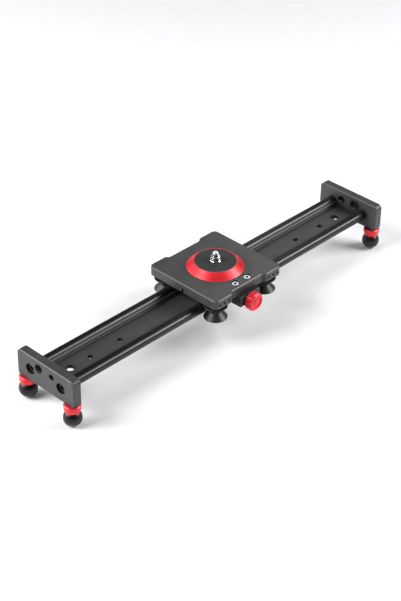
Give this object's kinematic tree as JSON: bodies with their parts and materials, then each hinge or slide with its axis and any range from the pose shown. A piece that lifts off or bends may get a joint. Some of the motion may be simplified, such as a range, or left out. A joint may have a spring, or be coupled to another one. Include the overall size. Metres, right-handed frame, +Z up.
{
  "type": "camera slider",
  "caption": "Short aluminium camera slider: twin-tube rail with end plates on screw feet, and a clampable roller carriage with a camera stud on a red-ringed platform.",
  "frame": {"origin": "mouth of the tripod socket, in the middle of the rail's underside", "axes": "+X along the rail, +Z up through the camera stud, -Y towards the clamp knob"},
  "size_m": [0.4284, 0.0983, 0.0716],
  "materials": {
    "rail_black": "black anodised, glossy",
    "plate_charcoal": "charcoal anodised, fine brushed",
    "screw_black": "black oxide",
    "anodised_red": "red anodised, satin",
    "rubber_black": "matte",
    "screw_silver": "bright plated",
    "roller_polymer": "glossy moulded",
    "bearing_steel": "ground",
    "nylon": "natural nylon"
  },
  "bodies": {
    "rail": {"rail_extrusion": "rail_black", "end_plate_left": "plate_charcoal", "end_plate_right": "plate_charcoal", "end_plate_screws": "screw_black"},
    "carriage": {"carriage_plate": "plate_charcoal", "preload_blocks": "plate_charcoal", "preload_set_screws": "screw_black", "bearing_inner_races": "bearing_steel", "bearing_spacers": "bearing_steel", "roller_bolts": "screw_black", "bumpers": "rubber_black", "platform_ring": "anodised_red", "ring_screws": "screw_black", "platform_disc": "plate_charcoal", "platform_pad": "rubber_black", "camera_stud": "screw_silver", "stud_adapter": "screw_silver", "brake_block": "plate_charcoal", "brake_block_screws": "screw_silver"},
    "roller_front_left": {"roller_front_left": "roller_polymer", "bearing_races_front_left": "bearing_steel"},
    "roller_front_right": {"roller_front_right": "roller_polymer", "bearing_races_front_right": "bearing_steel"},
    "roller_back_left": {"roller_back_left": "roller_polymer", "bearing_races_back_left": "bearing_steel"},
    "roller_back_right": {"roller_back_right": "roller_polymer", "bearing_races_back_right": "bearing_steel"},
    "brake_pad": {"brake_pad": "nylon"},
    "brake_knob": {"brake_knob": "anodised_red", "brake_screw": "screw_silver", "brake_washer": "nylon"},
    "foot_ring_front_left": {"foot_lock_ring_front_left": "anodised_red"},
    "foot_front_left": {"foot_stud_front_left": "screw_silver", "foot_ball_front_left": "rubber_black"},
    "foot_ring_front_right": {"foot_lock_ring_front_right": "anodised_red"},
    "foot_front_right": {"foot_stud_front_right": "screw_silver", "foot_ball_front_right": "rubber_black"},
    "foot_ring_back_left": {"foot_lock_ring_back_left": "anodised_red"},
    "foot_back_left": {"foot_stud_back_left": "screw_silver", "foot_ball_back_left": "rubber_black"},
    "foot_ring_back_right": {"foot_lock_ring_back_right": "anodised_red"},
    "foot_back_right": {"foot_stud_back_right": "screw_silver", "foot_ball_back_right": "rubber_black"}
  },
  "joints": [
    {"name": "carriage_slide", "type": "slide", "parent": "rail", "child": "carriage", "axis": [1, 0, 0], "range_m": [-0.1577, 0.1497]},
    {"name": "roller_front_left_spin", "type": "hinge", "parent": "carriage", "child": "roller_front_left", "pos_m": [-0.0292, -0.0326, 0.0072], "axis": [0, 0, 1], "continuous": true},
    {"name": "roller_front_right_spin", "type": "hinge", "parent": "carriage", "child": "roller_front_right", "pos_m": [0.0372, -0.0326, 0.0072], "axis": [0, 0, 1], "continuous": true},
    {"name": "roller_back_left_spin", "type": "hinge", "parent": "carriage", "child": "roller_back_left", "pos_m": [-0.0292, 0.0326, 0.0072], "axis": [0, 0, 1], "continuous": true},
    {"name": "roller_back_right_spin", "type": "hinge", "parent": "carriage", "child": "roller_back_right", "pos_m": [0.0372, 0.0326, 0.0072], "axis": [0, 0, 1], "continuous": true},
    {"name": "brake_pad_travel", "type": "slide", "parent": "carriage", "child": "brake_pad", "axis": [0, -1, 0], "range_m": [-0.00031, 0.00121]},
    {"name": "brake_knob_turn", "type": "hinge", "parent": "brake_pad", "child": "brake_knob", "pos_m": [0.004, -0.0466, 0.0105], "axis": [0, -1, 0], "range_deg": [-135, 540]},
    {"name": "foot_front_left_height", "type": "slide", "parent": "rail", "child": "foot_ring_front_left", "axis": [0, 0, -1], "range_m": [0, 0.00801]},
    {"name": "foot_front_left_turn", "type": "hinge", "parent": "foot_ring_front_left", "child": "foot_front_left", "pos_m": [-0.2055, -0.0295, -0.012], "axis": [0, 0, -1], "range_deg": [0, 2880]},
    {"name": "foot_front_right_height", "type": "slide", "parent": "rail", "child": "foot_ring_front_right", "axis": [0, 0, -1], "range_m": [0, 0.00801]},
    {"name": "foot_front_right_turn", "type": "hinge", "parent": "foot_ring_front_right", "child": "foot_front_right", "pos_m": [0.2055, -0.0295, -0.012], "axis": [0, 0, -1], "range_deg": [0, 2880]},
    {"name": "foot_back_left_height", "type": "slide", "parent": "rail", "child": "foot_ring_back_left", "axis": [0, 0, -1], "range_m": [0, 0.00801]},
    {"name": "foot_back_left_turn", "type": "hinge", "parent": "foot_ring_back_left", "child": "foot_back_left", "pos_m": [-0.2055, 0.0295, -0.012], "axis": [0, 0, -1], "range_deg": [0, 2880]},
    {"name": "foot_back_right_height", "type": "slide", "parent": "rail", "child": "foot_ring_back_right", "axis": [0, 0, -1], "range_m": [0, 0.00801]},
    {"name": "foot_back_right_turn", "type": "hinge", "parent": "foot_ring_back_right", "child": "foot_back_right", "pos_m": [0.2055, 0.0295, -0.012], "axis": [0, 0, -1], "range_deg": [0, 2880]}
  ],
  "couplings": [
    {"joint": "roller_front_left_spin", "follows": "carriage_slide", "rad_per_m": 110.32},
    {"joint": "roller_front_right_spin", "follows": "carriage_slide", "rad_per_m": 110.32},
    {"joint": "roller_back_left_spin", "follows": "carriage_slide", "rad_per_m": -110.32},
    {"joint": "roller_back_right_spin", "follows": "carriage_slide", "rad_per_m": -110.32},
    {"joint": "brake_pad_travel", "follows": "brake_knob_turn", "m_per_rad": 0.00012732},
    {"joint": "foot_front_left_height", "follows": "foot_front_left_turn", "m_per_rad": 0.00015915},
    {"joint": "foot_front_right_height", "follows": "foot_front_right_turn", "m_per_rad": 0.00015915},
    {"joint": "foot_back_left_height", "follows": "foot_back_left_turn", "m_per_rad": 0.00015915},
    {"joint": "foot_back_right_height", "follows": "foot_back_right_turn", "m_per_rad": 0.00015915}
  ]
}
